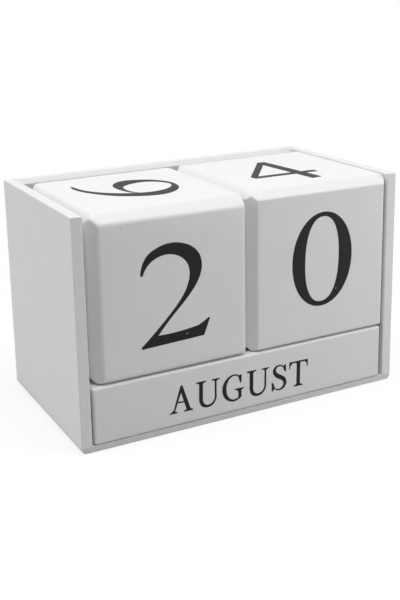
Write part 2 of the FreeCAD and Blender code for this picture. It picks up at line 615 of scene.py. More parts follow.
class Numerals:
    """Old-style numerals with bold curves and fine hairlines, one unit high."""

    def strokes(self, mark: str) -> list[Stroke]:
        """Gives the strokes of a numeral.

        Args:
            mark: the character.

        Returns:
            The strokes.
        """
        drawn: dict[str, Callable[[], list[Stroke]]] = {
            "0": self.nought,
            "1": self.one,
            "2": self.two,
            "3": self.three,
            "4": self.four,
            "5": self.five,
            "6": self.six,
            "7": self.seven,
            "8": self.eight,
        }
        return drawn[mark]()

    def nought(self) -> list[Stroke]:
        """An oval whose counter has flatter sides, both leaning a little.

        Returns:
            The strokes.
        """
        outer = Oval((0.364, 0.5), (0.364, 0.5), power=2.04, lean=0.025)
        inner = Oval((0.360, 0.502), (0.205, 0.451), power=2.3, lean=0.025)
        return [ring(outer, inner)]

    def one(self) -> list[Stroke]:
        """A stem with a flag and a foot.

        Returns:
            The strokes.
        """
        stem = between([(0.155, 0.95), (0.155, 0.0)], [(0.300, 1.0), (0.300, 0.0)])
        flag = between([(0.0, 0.845), (0.13, 0.92), (0.30, 1.0)], [(0.0, 0.815), (0.10, 0.855), (0.20, 0.86)])
        return [stem, flag, serif(0.2275, 0.0, End.FOOT, half=0.2275, neck=0.0725)]

    def two(self) -> list[Stroke]:
        """A swelling arch that runs down into a hairline, and a flat foot with an upturned tip.

        Returns:
            The strokes.
        """
        arch = between(
            [
                (0.010, 0.718), (0.026, 0.808), (0.089, 0.913), (0.193, 0.972), (0.329, 0.999),
                (0.449, 0.980), (0.553, 0.929), (0.624, 0.847), (0.648, 0.746), (0.636, 0.660),
                (0.592, 0.566), (0.521, 0.472), (0.441, 0.386), (0.329, 0.277), (0.177, 0.109),
            ],
            [
                (0.036, 0.718), (0.073, 0.792), (0.137, 0.851), (0.209, 0.882), (0.297, 0.892),
                (0.377, 0.874), (0.449, 0.831), (0.501, 0.761), (0.517, 0.675), (0.501, 0.582),
                (0.453, 0.480), (0.377, 0.379), (0.281, 0.277), (0.169, 0.168), (0.002, 0.020),
            ],
            count=60,
        )
        heel = between([(0.002, 0.020), (0.177, 0.109)], [(0.006, 0.0), (0.090, 0.003)])
        foot = between(
            [(0.177, 0.109), (0.449, 0.117), (0.600, 0.137)], [(0.090, 0.003), (0.375, 0.013), (0.660, 0.023)]
        )
        tip = between(
            [(0.600, 0.137), (0.652, 0.162), (0.712, 0.197)], [(0.660, 0.023), (0.693, 0.107), (0.726, 0.191)]
        )
        return [arch, heel, foot, tip]

    def three(self) -> list[Stroke]:
        """Two bowls, of which the lower one is larger.

        Returns:
            The strokes.
        """
        upper = nib(
            [
                (0.07, 0.80), (0.16, 0.92), (0.30, 0.965), (0.43, 0.90), (0.475, 0.78), (0.41, 0.64),
                (0.26, 0.555),
            ],
            [0.05, 0.06, 0.075, 0.115, 0.135, 0.10, 0.045],
        )
        lower = nib(
            [
                (0.24, 0.555), (0.42, 0.525), (0.54, 0.42), (0.555, 0.27), (0.465, 0.11), (0.29, 0.028),
                (0.13, 0.05), (0.03, 0.15),
            ],
            [0.045, 0.09, 0.14, 0.155, 0.12, 0.06, 0.05, 0.06],
        )
        return [upper, lower]

    def four(self) -> list[Stroke]:
        """A leaning stem, a diagonal and a crossbar that meet at a rounded corner.

        Returns:
            The strokes.
        """
        stem = between([(0.436, 0.98), (0.511, 0.0)], [(0.546, 0.995), (0.637, 0.020)])
        diagonal = between([(0.461, 1.0), (0.010, 0.391)], [(0.546, 0.99), (0.090, 0.373)])
        corner = between(
            [(0.010, 0.391), (0.0, 0.355), (0.002, 0.312), (0.022, 0.283)],
            [(0.090, 0.373), (0.090, 0.345), (0.090, 0.310), (0.090, 0.281)],
            count=10,
        )
        crossbar = between([(0.080, 0.370), (0.753, 0.350)], [(0.022, 0.283), (0.760, 0.265)])
        return [stem, diagonal, corner, crossbar]

    def five(self) -> list[Stroke]:
        """A flag on a thin neck over one bowl.

        Returns:
            The strokes.
        """
        flag = between(
            [(0.165, 1.0), (0.38, 0.985), (0.575, 1.02)], [(0.165, 0.875), (0.38, 0.865), (0.545, 0.905)]
        )
        neck = nib([(0.18, 0.95), (0.125, 0.56)], [0.045, 0.045])
        bowl = nib(
            [
                (0.13, 0.555), (0.27, 0.605), (0.42, 0.57), (0.52, 0.45), (0.525, 0.29), (0.43, 0.12),
                (0.26, 0.03), (0.11, 0.045), (0.02, 0.13),
            ],
            [0.035, 0.07, 0.12, 0.15, 0.155, 0.12, 0.07, 0.05, 0.06],
        )
        return [flag, neck, bowl]

    def six(self) -> list[Stroke]:
        """A long tail that sweeps round the left of a tilted bowl.

        Returns:
            The strokes.
        """
        sweep = between(
            [
                (0.779, 0.978), (0.700, 0.996), (0.519, 0.971), (0.350, 0.888), (0.191, 0.771),
                (0.074, 0.606), (0.010, 0.450), (0.0, 0.300), (0.064, 0.159), (0.180, 0.053), (0.307, 0.006),
            ],
            [
                (0.776, 0.966), (0.721, 0.957), (0.562, 0.924), (0.435, 0.853), (0.318, 0.747),
                (0.225, 0.610), (0.172, 0.470), (0.159, 0.340), (0.200, 0.185), (0.286, 0.085),
                (0.370, 0.045),
            ],
            count=60,
        )
        bowl = between(
            [
                (0.307, 0.006), (0.424, 0.0), (0.551, 0.041), (0.657, 0.124), (0.731, 0.253),
                (0.763, 0.371), (0.742, 0.465), (0.657, 0.559), (0.562, 0.606), (0.456, 0.615),
                (0.350, 0.600), (0.223, 0.559),
            ],
            [
                (0.320, 0.052), (0.382, 0.045), (0.466, 0.065), (0.551, 0.135), (0.602, 0.229),
                (0.599, 0.335), (0.562, 0.441), (0.509, 0.512), (0.413, 0.547), (0.330, 0.548),
                (0.254, 0.529), (0.170, 0.480),
            ],
            count=60,
        )
        return [sweep, bowl]

    def seven(self) -> list[Stroke]:
        """A flat top with a beak, and a thick diagonal.

        Returns:
            The strokes.
        """
        top = between([(0.035, 0.985), (0.640, 1.0)], [(0.045, 0.875), (0.590, 0.865)])
        beak = between([(0.035, 0.985), (0.0, 0.715)], [(0.20, 0.90), (0.035, 0.715)])
        diagonal = between(
            [(0.530, 0.88), (0.33, 0.50), (0.16, 0.0)], [(0.640, 1.0), (0.46, 0.55), (0.31, 0.0)]
        )
        return [top, beak, diagonal]

    def eight(self) -> list[Stroke]:
        """Two rings, of which the lower one is larger.

        Returns:
            The strokes.
        """
        upper = ring(
            Oval((0.335, 0.755), (0.235, 0.245), lean=-0.1), Oval((0.340, 0.765), (0.125, 0.200), lean=-0.2)
        )
        lower = ring(
            Oval((0.335, 0.275), (0.315, 0.275), lean=-0.1), Oval((0.330, 0.270), (0.175, 0.228), lean=-0.2)
        )
        return [upper, lower]


@dataclass(frozen=True)
class Capitals:
    """Roman capitals with bold stems, hairlines and bracketed serifs, one unit high."""

    left: float = 0.203
    stem: float = 0.155
    hair: float = 0.064
    reach: float = 0.125
    middle_arm: float = 0.53

    def strokes(self, mark: str) -> list[Stroke]:
        """Gives the strokes of a letter.

        Args:
            mark: the character.

        Returns:
            The strokes.
        """
        drawn: dict[str, Callable[[], list[Stroke]]] = {
            "A": self.a, "B": self.b, "C": self.c, "D": self.d, "E": self.e, "F": self.f, "G": self.g,
            "H": self.h, "I": self.i, "J": self.j, "L": self.l, "M": self.m, "N": self.n, "O": self.o,
            "P": self.p, "R": self.r, "S": self.s, "T": self.t, "U": self.u, "V": self.v, "Y": self.y,
        }
        return drawn[mark]()

    def post(
        self, x: float, width: float, low: float = 0.0, ends: Sequence[End] = tuple(End)
    ) -> list[Stroke]:
        """Draws an upright stem.

        Args:
            x: its middle.
            width: its width.
            low: the level that it starts at.
            ends: the ends that have a serif.

        Returns:
            The stem and its serifs.
        """
        half = width / 2
        shaft = between([(x - half, low), (x - half, 1.0)], [(x + half, low), (x + half, 1.0)])
        levels = {End.FOOT: low, End.HEAD: 1.0}
        return [shaft] + [serif(x, levels[end], end, half=self.reach + half, neck=half) for end in ends]

    def upright(self) -> list[Stroke]:
        """Draws the bold stem at the left of most letters."""
        return self.post(self.left, self.stem)

    def arm(self, x: float, end: float, y: float) -> Stroke:
        """Draws a level hairline from x to its end, with its middle at y."""
        half = self.hair / 2
        return between([(x, y + half), (end, y + half)], [(x, y - half), (end, y - half)])

    def beak(self, x: float, y: float, rise: float, run: float) -> Stroke:
        """Draws the pointed serif at the free end of an arm.

        Args:
            x: where its upright outer edge is.
            y: the level that it grows from.
            rise: how far it reaches above that level, or below if negative.
            run: how far its curved inner edge reaches along the arm, to the left or, if negative, the right.

        Returns:
            The stroke.
        """
        inner = [(x - run, y + 0.10 * rise), (x - 0.5 * run, y + 0.32 * rise), (x - 0.16 * run, y + rise)]
        return between([(x, y), (x, y + 0.5 * rise), (x + 0.03 * run, y + rise)], inner, count=12)

    def a(self) -> list[Stroke]:
        """A thin and a thick leg under a pointed apex.

        Returns:
            The strokes.
        """
        return [
            between([(0.442, 1.015), (0.351, 0.747)], [(0.509, 1.015), (0.600, 0.747)]),
            between([(0.351, 0.747), (0.127, 0.0)], [(0.451, 0.747), (0.190, 0.0)]),
            between([(0.451, 0.747), (0.690, 0.0)], [(0.600, 0.747), (0.850, 0.0)]),
            nib([(0.26, 0.395), (0.60, 0.385)], [0.055, 0.055]),
            serif(0.155, 0.0, End.FOOT, half=0.155, neck=0.03),
            serif(0.745, 0.0, End.FOOT, half=0.185, neck=0.075),
        ]

    def b(self) -> list[Stroke]:
        """A stem and two bowls.

        Returns:
            The strokes.
        """
        upper = nib(
            [
                (0.20, 0.965), (0.42, 0.955), (0.55, 0.86), (0.565, 0.74), (0.49, 0.60), (0.34, 0.535),
                (0.20, 0.53),
            ],
            [0.06, 0.07, 0.12, 0.14, 0.10, 0.06, 0.05],
        )
        lower = nib(
            [
                (0.20, 0.53), (0.46, 0.51), (0.61, 0.41), (0.635, 0.27), (0.57, 0.12), (0.40, 0.04),
                (0.20, 0.035),
            ],
            [0.055, 0.07, 0.13, 0.155, 0.12, 0.07, 0.06],
        )
        return [*self.upright(), upper, lower]

    def bow(self, ends: Sequence[Point], widths: Sequence[float]) -> Stroke:
        """Draws the open round of a C or G, from its beak round to its end.

        Args:
            ends: the last points that the nib passes through.
            widths: the widths there.

        Returns:
            The stroke.
        """
        round_part = [(0.72, 0.83), (0.60, 0.945), (0.44, 0.975), (0.27, 0.90), (0.13, 0.72), (0.085, 0.47)]
        turn = [(0.13, 0.25), (0.26, 0.08)]
        round_widths = [0.05, 0.055, 0.062, 0.09, 0.14, 0.168, 0.15, 0.11]
        return nib([*round_part, *turn, *ends], [*round_widths, *widths], count=40)

    def c(self) -> list[Stroke]:
        """An open round with a beak."""
        return [self.bow([(0.45, 0.012), (0.62, 0.045), (0.77, 0.17)], [0.075, 0.06, 0.045]), self.throat()]

    def throat(self) -> Stroke:
        """The beak at the top of a C or G."""
        inner = [(0.66, 0.93), (0.665, 0.86), (0.735, 0.635)]
        return between(inner, [(0.785, 0.955), (0.788, 0.80), (0.78, 0.64)])

    def d(self) -> list[Stroke]:
        """A stem and one large bowl.

        Returns:
            The strokes.
        """
        bowl = nib(
            [
                (0.20, 0.965), (0.45, 0.95), (0.68, 0.83), (0.79, 0.62), (0.795, 0.40), (0.70, 0.19),
                (0.48, 0.055), (0.20, 0.035),
            ],
            [0.06, 0.075, 0.12, 0.155, 0.16, 0.125, 0.08, 0.06],
        )
        return [*self.upright(), bowl]

    def e(self) -> list[Stroke]:
        """A stem and three arms.

        Returns:
            The strokes.
        """
        edge = self.hair / 2
        foot = [self.arm(0.2, 0.66, edge), self.beak(0.68, 0.0, 0.24, 0.22)]
        return [*self.f(), *foot]

    def f(self) -> list[Stroke]:
        """A stem and two arms.

        Returns:
            The strokes.
        """
        top = [self.arm(0.2, 0.60, 1 - self.hair / 2), self.beak(0.61, 1.0, -0.23, 0.20)]
        middle = [self.arm(0.2, 0.44, self.middle_arm)]
        middle += [self.beak(0.47, self.middle_arm, rise, 0.10) for rise in (0.12, -0.12)]
        return [*self.upright(), *top, *middle]

    def g(self) -> list[Stroke]:
        """An open round with a beak, and a short stem with a serif over it.

        Returns:
            The strokes.
        """
        ends = [(0.44, 0.0), (0.60, 0.02), (0.73, 0.085)]
        spur = between([(0.655, 0.40), (0.655, 0.06)], [(0.787, 0.40), (0.787, 0.075)])
        cap = serif(0.70, 0.435, End.HEAD, half=0.19, neck=0.066)
        return [self.bow(ends, [0.082, 0.075, 0.07]), self.throat(), spur, cap]

    def h(self) -> list[Stroke]:
        """Two stems and a bar."""
        bar = self.arm(0.2, 0.84, self.middle_arm)
        return [*self.upright(), *self.post(0.845, self.stem), bar]

    def i(self) -> list[Stroke]:
        """A stem."""
        return self.upright()

    def j(self) -> list[Stroke]:
        """A stem with a hook below the line."""
        hook = nib([(0.26, 0.20), (0.25, 0.05), (0.18, -0.09), (0.04, -0.13)], [0.155, 0.135, 0.085, 0.05])
        return [*self.post(0.26, self.stem, low=0.19, ends=[End.HEAD]), hook]

    def l(self) -> list[Stroke]:
        """A stem and a foot."""
        foot = [self.arm(0.2, 0.64, self.hair / 2), self.beak(0.66, 0.0, 0.25, 0.22)]
        return [*self.upright(), *foot]

    def m(self) -> list[Stroke]:
        """A thin and a thick stem with a deep notch between them.

        Returns:
            The strokes.
        """
        thick = between([(0.125, 1.0), (0.485, 0.0)], [(0.290, 1.0), (0.575, 0.16)])
        thin = between([(0.485, 0.0), (0.860, 1.0)], [(0.555, 0.0), (0.925, 1.0)])
        return [*self.post(0.155, self.hair), *self.post(0.935, self.stem), thick, thin]

    def n(self) -> list[Stroke]:
        """Two thin stems and a thick diagonal."""
        diagonal = between([(0.115, 1.0), (0.750, 0.0)], [(0.285, 1.0), (0.860, 0.0)])
        return [*self.post(0.17, self.hair), *self.post(0.825, self.hair, ends=[End.HEAD]), diagonal]

    def o(self) -> list[Stroke]:
        """A round whose counter is narrower than it is high.

        Returns:
            The strokes.
        """
        outer = Oval((0.44, 0.495), (0.44, 0.515))
        inner = Oval((0.44, 0.495), (0.275, 0.455), power=2.1, lean=-0.06)
        return [ring(outer, inner, count=49)]

    def p(self) -> list[Stroke]:
        """A stem and one high bowl.

        Returns:
            The strokes.
        """
        bowl = nib(
            [
                (0.20, 0.965), (0.43, 0.955), (0.58, 0.85), (0.60, 0.71), (0.52, 0.54), (0.37, 0.465),
                (0.20, 0.46),
            ],
            [0.06, 0.07, 0.125, 0.145, 0.10, 0.06, 0.05],
        )
        return [*self.upright(), bowl]

    def r(self) -> list[Stroke]:
        """The strokes of a P, and a leg."""
        leg = between([(0.33, 0.50), (0.665, 0.0)], [(0.47, 0.54), (0.845, 0.0)])
        return [*self.p(), leg, serif(0.79, 0.0, End.FOOT, half=0.14, neck=0.08)]

    def s(self) -> list[Stroke]:
        """A double curve with two beaks.

        Returns:
            The strokes.
        """
        spine = nib(
            [
                (0.555, 0.80), (0.45, 0.93), (0.305, 0.972), (0.165, 0.91), (0.115, 0.775), (0.19, 0.63),
                (0.36, 0.515), (0.52, 0.40), (0.575, 0.26), (0.51, 0.10), (0.345, 0.025), (0.19, 0.06),
                (0.085, 0.19),
            ],
            [0.05, 0.05, 0.062, 0.10, 0.135, 0.158, 0.168, 0.155, 0.135, 0.10, 0.064, 0.05, 0.05],
            count=48,
        )
        upper = between(
            [(0.53, 0.955), (0.50, 0.86), (0.575, 0.69)], [(0.605, 0.985), (0.612, 0.84), (0.618, 0.68)]
        )
        lower = between(
            [(0.015, 0.0), (0.004, 0.17), (0.0, 0.345)], [(0.085, 0.02), (0.125, 0.14), (0.045, 0.345)]
        )
        return [spine, upper, lower]

    def t(self) -> list[Stroke]:
        """A stem under a beam with two beaks.

        Returns:
            The strokes.
        """
        beam = self.arm(0.01, 0.812, 1 - self.hair / 2)
        beaks = [self.beak(0.008, 1.0, -0.265, -0.22), self.beak(0.814, 1.0, -0.275, 0.22)]
        bracket = serif(0.405, 1.0, End.HEAD, half=0.16, neck=0.0775)
        return [*self.post(0.405, self.stem, ends=[End.FOOT]), bracket, beam, *beaks]

    def u(self) -> list[Stroke]:
        """A thick and a thin stem joined by a bowl.

        Returns:
            The strokes.
        """
        bowl = nib(
            [
                (0.198, 0.42), (0.20, 0.28), (0.27, 0.10), (0.455, 0.015), (0.64, 0.06), (0.755, 0.20),
                (0.782, 0.42),
            ],
            [0.152, 0.15, 0.135, 0.098, 0.085, 0.078, 0.075],
        )
        left = self.post(0.198, 0.152, low=0.41, ends=[End.HEAD])
        return [*left, *self.post(0.782, 0.075, low=0.41, ends=[End.HEAD]), bowl]

    def v(self) -> list[Stroke]:
        """A thick and a thin diagonal that meet at the foot.

        Returns:
            The strokes.
        """
        thick = between([(0.125, 1.0), (0.405, 0.0)], [(0.290, 1.0), (0.52, 0.16)])
        thin = between([(0.405, 0.0), (0.710, 1.0)], [(0.475, 0.0), (0.775, 1.0)])
        left = serif(0.205, 1.0, End.HEAD, half=0.205, neck=0.08)
        right = serif(0.745, 1.0, End.HEAD, half=0.155, neck=0.03)
        return [thick, thin, left, right]

    def y(self) -> list[Stroke]:
        """A thick and a thin arm over a short stem.

        Returns:
            The strokes.
        """
        thick = between([(0.110, 1.0), (0.345, 0.44)], [(0.275, 1.0), (0.50, 0.47)])
        thin = between([(0.430, 0.42), (0.690, 1.0)], [(0.50, 0.47), (0.760, 1.0)])
        stem = between([(0.345, 0.0), (0.345, 0.46)], [(0.50, 0.0), (0.50, 0.48)])
        left = serif(0.19, 1.0, End.HEAD, half=0.19, neck=0.08)
        right = serif(0.725, 1.0, End.HEAD, half=0.145, neck=0.03)
        return [thick, thin, stem, left, right, serif(0.4225, 0.0, End.FOOT, half=0.2, neck=0.0775)]


def unite(strokes: Sequence[Stroke]) -> tuple[np.ndarray, np.ndarray]:
    """Joins strokes that may overlap into one triangulated outline.

    Each cell of a stroke, two rows long, becomes two triangles that run anticlockwise. A constrained Delaunay
    triangulation of them all is made, and the triangles that lie in any cell are kept.

    Args:
        strokes: the strokes.

    Returns:
        The points, as rows of x and y, and the triangles, as rows of three numbers of points.
    """
    tiny_area, tolerance = 1e-9, 1e-6
    points = np.concatenate([stroke.reshape(-1, 2) for stroke in strokes])
    starts = np.cumsum([0] + [2 * len(stroke) for stroke in strokes[:-1]])
    rows = [start + 2 * np.arange(len(stroke) - 1) for start, stroke in zip(starts, strokes)]
    firsts = np.concatenate(rows)
    cells = np.concatenate([firsts[:, None] + [0, 1, 3], firsts[:, None] + [0, 3, 2]])
    a, b, c = (points[cells[:, corner]] for corner in range(3))
    areas = (b[:, 0] - a[:, 0]) * (c[:, 1] - a[:, 1]) - (c[:, 0] - a[:, 0]) * (b[:, 1] - a[:, 1])
    cells = np.where(areas[:, None] < 0, cells[:, ::-1], cells)[np.abs(areas) > tiny_area]
    made = geometry.delaunay_2d_cdt([Vector(p) for p in points], [], cells.tolist(), 0, tolerance, True)
    kept = [face for face, parents in zip(made[2], made[5]) if parents]
    return np.array([tuple(point) for point in made[0]]), np.array(kept)


@cache
def glyph(mark: str) -> tuple[np.ndarray, np.ndarray]:
    """Gives the points and triangles of a numeral or letter, one unit high."""
    alphabet = Numerals() if mark.isdigit() else Capitals()
    return unite(alphabet.strokes(mark))


def word(text: str, gap: float = 0.107) -> tuple[np.ndarray, np.ndarray]:
    """Sets a text in one line.

    Each glyph starts a gap after the right edge of the one before.

    Args:
        text: the text.
        gap: the space between two glyphs, in glyph heights.

    Returns:
        The points and triangles of the line, whose box has its middle at the origin in x and at half a unit
        in y.
    """
    all_points, all_triangles, end, count = [], [], 0.0, 0
    for mark in text:
        points, triangles = glyph(mark)
        left = points[triangles.ravel(), 0].min()
        all_points.append(points + [end - left, 0.0])
        all_triangles.append(triangles + count)
        end += points[triangles.ravel(), 0].max() - left + gap
        count += len(points)
    points = np.concatenate(all_points)
    return points - [(end - gap) / 2, 0.5], np.concatenate(all_triangles)


# --- Print ------------------------------------------------------------------------------------------------


class Side(Enum):
    """The sides of a block, each with the directions that its print reads and stands in."""

    FRONT = ((1, 0, 0), (0, 0, 1))
    BACK = ((-1, 0, 0), (0, 0, 1))
    LEFT = ((0, -1, 0), (0, 0, 1))
    RIGHT = ((0, 1, 0), (0, 0, 1))
    TOP = ((1, 0, 0), (0, 1, 0))
    UNDERSIDE = ((1, 0, 0), (0, -1, 0))

    @property
    def outward(self) -> np.ndarray:
        """The direction that the side faces."""
        return np.cross(*self.value)


@dataclass(frozen=True)
class Print:
    """A numeral or word printed on one side of a block.

    Its shift is from the middle of the side, and its turn is anticlockwise, in degrees. The film reaches from
    a little below the side to a little above it.
    """

    text: str
    side: Side
    height: float
    shift: Point = (0.0, 0.0)
    turn: float = 0.0
    stretch: float = 1.0
    above: float = 0.03 * MM
    below: float = 0.02 * MM

    def mesh(self, name: str, low: Vector, high: Vector) -> bpy.types.Mesh:
        """Makes the ink film.

        The line of text is scaled to its height, turned in its plane and moved on by its shift from the
        middle of the side. Its triangles are laid a little above the side and, turned over, a little below
        it, and a wall closes the film along every edge that only one triangle has.

        Args:
            name: the mesh's name.
            low: the block's lowest corner.
            high: the block's highest corner.

        Returns:
            The mesh.
        """
        points, triangles = word(self.text)
        across, up = (np.array(way, float) for way in self.side.value)
        outward = self.side.outward
        middle = (np.array(low) + np.array(high)) / 2
        middle += outward * np.abs(outward * (np.array(high) - np.array(low))).sum() / 2
        angle = math.radians(self.turn)
        reading = math.cos(angle) * across + math.sin(angle) * up
        standing = math.cos(angle) * up - math.sin(angle) * across
        origin = middle + self.shift[0] * across + self.shift[1] * up
        flat = origin + self.height * (points[:, :1] * self.stretch * reading + points[:, 1:] * standing)
        edges = triangles[:, [0, 1, 1, 2, 2, 0]].reshape(-1, 2)
        _, place, uses = np.unique(np.sort(edges, axis=1), axis=0, return_inverse=True, return_counts=True)
        rim = edges[uses[place.ravel()] == 1]
        count = len(flat)
        wall = np.concatenate([rim + count, rim[:, ::-1]], axis=1)
        faces = [*triangles.tolist(), *(triangles[:, ::-1] + count).tolist(), *wall.tolist()]
        mesh = bpy.data.meshes.new(name)
        corners = np.concatenate([flat + outward * self.above, flat - outward * self.below])
        mesh.from_pydata(corners.tolist(), [], faces)
        mesh.validate()
        return mesh


@dataclass
class Printer:
    """Prints on the blocks with one ink."""

    ink: Ink = field(default_factory=Ink)

    def __post_init__(self) -> None:
        """Mixes the ink."""
        self.material = self.ink.material()

    def lay(self, mark: Print, node: str, body: str) -> bpy.types.Object:
        """Prints a mark on a block.

        Args:
            mark: what is printed, and where.
            node: the block.
            body: the body that the block moves with.

        Returns:
            The ink film.
        """
        name = f"print_{mark.side.name.lower()}_{node}"
        film = put(name, mark.mesh(name, *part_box(node)))
        film.data.materials.append(self.material)
        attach(film, body)
        LOG.info("printed %s on the %s of %s", mark.text, mark.side.name.lower(), node)
        return film


# --- Sub-assemblies ---------------------------------------------------------------------------------------


def paint_for(node: str, grain: Axis, chamfer: float, **extras: object) -> bpy.types.Material:
    """Mixes the paint of a block or board.

    Args:
        node: its name.
        grain: the direction of its grain.
        chamfer: the leg of the chamfers on its edges.
        extras: other fields of its finish.

    Returns:
        The material.
    """
    low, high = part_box(node)
    middle, half = tuple((low + high) / 2), tuple((high - low) / 2)
    LOG.info("painted %s", node)
    return PaintedWood(f"paint_{node}", grain, middle, half, chamfer, **extras).material()


def coat(node: str, material: bpy.types.Material) -> None:
    """Gives a packed block or board its paint.

    Args:
        node: its name.
        material: the paint.
    """
    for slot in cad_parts[node].material_slots:
        slot.material = material


@dataclass
class Holder:
    """The open-fronted holder, glued up from four boards."""

    ease: float = 0.4 * MM
    ease_steps: int = 5
    planed_drop: float = 1.7 * MM
    planed_run: float = 1.1 * MM
    # Painted shade on the boards' top edges: a darker level than their faces.
    rim_level: float = 0.79
    # Painted light: the back board's level is paler than the sides' level.
    back_painted_light_level: float = 0.84
    # Painted shade: the base board's level is darker than the other boards' level.
    base_painted_shade_level: float = 0.70

    def dress(self) -> None:
        """Makes the back board and paints all four.

        The back is painted paler than the sides as painted light, and the base darker as painted shade.
        """
        edge = self.ease / 2
        # The side boards get painted shade on their top edges.
        for node in ("left_side_board", "right_side_board"):
            coat(node, paint_for(node, Axis.Z, edge, rim_level=self.rim_level))
        # Painted light: the back board gets a paler level than the sides, and painted shade on its top edge.
        back_paint = paint_for("back_board", Axis.X, edge, level=self.back_painted_light_level, rim_level=self.rim_level)
        self.make_back(back_paint)
        # Painted shade: the base board gets a darker level than the other boards.
        coat("base_board", paint_for("base_board", Axis.X, edge, level=self.base_painted_shade_level))

    def make_back(self, material: bpy.types.Material) -> None:
        """Makes the back board, whose inner top edge is planed off so that the cubes slip in.

        Its section is carried straight along X: up the inner face, over the steeply planed edge and the top,
        round the eased outer edge as a quarter of a circle, and down the outer face.

        Args:
            material: its paint.
        """
        low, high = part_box("back_board")
        turn = np.linspace(np.pi / 2, 0.0, self.ease_steps)
        eased = [high.y, high.z] - self.ease * (1 - np.stack([np.cos(turn), np.sin(turn)], axis=1))
        planed = [[low.y, low.z], [low.y, high.z - self.planed_drop], [low.y + self.planed_run, high.z]]
        section = np.concatenate([planed, eased, [[high.y, low.z]]])
        count = len(section)
        ends = [np.column_stack([np.full(count, x), section]) for x in (low.x, high.x)]
        first = np.arange(count)
        following = (first + 1) % count
        walls = np.stack([first, first + count, following + count, following], axis=1)
        faces = [*walls.tolist(), first.tolist(), (first[::-1] + count).tolist()]
        mesh = bpy.data.meshes.new("planed_back_board")
        mesh.from_pydata(np.concatenate(ends).tolist(), [], faces)
        mesh.materials.append(material)
        board = put("planed_back_board", mesh)
        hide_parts("back_board")
        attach(board, "holder")


@dataclass(frozen=True)
class Chamfer:
    """A chamfer on the edge between two sides, whose leg can change evenly from one end to the other."""

    first: Side
    second: Side
    leg: float
    spread: float = 0.0


@dataclass(frozen=True)
class SandedCube:
    """A wooden cube whose chamfers meet in mitres, and whose edges are sanded soft.

    The higher its crispness, the less its edges are sanded. Under its front edge a relief rises evenly to the
    front over its run.
    """

    low: Vector
    high: Vector
    chamfers: Sequence[Chamfer]
    slim_leg: float
    crispness: float
    relief_run: float = 4.0 * MM
    relief_rise: float = 0.65 * MM
    edge_band: float = 4.8 * MM
    band_steps: int = 26
    flat_steps: int = 8

    def planes(self) -> tuple[np.ndarray, np.ndarray]:
        """Gives the planes that bound the cube.

        They are its six sides, the chamfers of its twelve edges, and a shallow relief under its front edge,
        from its middle: n . p = h. An edge that no chamfer is given for has a slim one. A leg that changes
        along its edge leans the plane's normal.

        Returns:
            The normals n as rows, and the distances h.
        """
        half = (np.array(self.high) - np.array(self.low)) / 2
        wanted = {frozenset((item.first, item.second)): item for item in self.chamfers}
        normals = [side.outward for side in Side]
        distances = [np.abs(side.outward) @ half for side in Side]
        for first, second in combinations(Side, 2):
            if first.outward @ second.outward == 0:
                plain = Chamfer(first, second, self.slim_leg)
                chosen = wanted.get(frozenset((first, second)), plain)
                along = np.abs(np.cross(first.outward, second.outward))
                lean = chosen.spread / 2 / (along @ half) * along
                normals.append(first.outward + second.outward + lean)
                distances.append((np.abs(first.outward) + np.abs(second.outward)) @ half - chosen.leg)
        slope = self.relief_rise / self.relief_run
        normals.append(Side.UNDERSIDE.outward + slope * Side.FRONT.outward)
        distances.append(half[2] + slope * (half[1] - self.relief_run))
        return np.array(normals, float), np.array(distances)

    def mesh(self, name: str) -> bpy.types.Mesh:
        """Makes the cube's surface.

        Each side is a grid in two parameters from -1 to 1, finest beside its edges, and the grids share the
        points of their borders. A ray from the cube's middle through a grid point meets the surface where the
        sum of (n . p / h) to the power of the crispness, over the planes that it faces, is 1. Away from the
        edges that is the side's own plane, and at an edge it is a soft blend of the planes that meet there.

        Args:
            name: the mesh's name.

        Returns:
            The mesh.
        """
        low, high = np.array(self.low), np.array(self.high)
        middle, half = (low + high) / 2, (high - low) / 2
        inner = 1 - self.edge_band / half.min()
        band = np.linspace(inner, 1.0, self.band_steps)
        ways = np.concatenate([-band[::-1], np.linspace(-inner, inner, self.flat_steps)[1:-1], band])
        last = len(ways) - 1
        steps = 2 * np.arange(last + 1) - last
        across, up = (part.reshape(-1, 1) for part in np.meshgrid(steps, steps))
        grids = [across * side.value[0] + up * side.value[1] + last * side.outward for side in Side]
        lattice, numbers = np.unique((np.concatenate(grids) + last) // 2, axis=0, return_inverse=True)
        rays = ways[lattice] * half
        normals, distances = self.planes()
        ratios = np.clip(rays @ normals.T / distances, 0.0, None)
        points = middle + rays / (ratios**self.crispness).sum(axis=1, keepdims=True) ** (1 / self.crispness)
        numbers = numbers.reshape(len(Side), last + 1, last + 1)
        corners = [numbers[:, :-1, :-1], numbers[:, :-1, 1:], numbers[:, 1:, 1:], numbers[:, 1:, :-1]]
        faces = np.stack([corner.ravel() for corner in corners], axis=1)
        mesh = bpy.data.meshes.new(name)
        mesh.from_pydata(points.tolist(), [], faces.tolist())
        mesh.polygons.foreach_set("use_smooth", np.ones(len(faces), bool))
        return mesh


@dataclass
class DateCube:
    """A date cube, with a numeral on each of its six sides."""

    node: str
    body: str
    chamfers: Sequence[Chamfer]
    slim_leg: float
    crispness: float
    numerals: Sequence[Print]
    stains: Sequence[Place]

    def dress(self, printer: Printer) -> None:
        """Makes the cube, paints it and prints its numerals.

        Args:
            printer: what prints them.
        """
        name = f"block_{self.node}"
        shape = SandedCube(*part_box(self.node), self.chamfers, self.slim_leg, self.crispness)
        block = put(name, shape.mesh(name))
        block.data.materials.append(paint_for(self.node, Axis.Z, self.chamfers[0].leg, stains=self.stains))
        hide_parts(self.node)
        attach(block, self.body)
        for numeral in self.numerals:
            printer.lay(numeral, self.node, self.body)


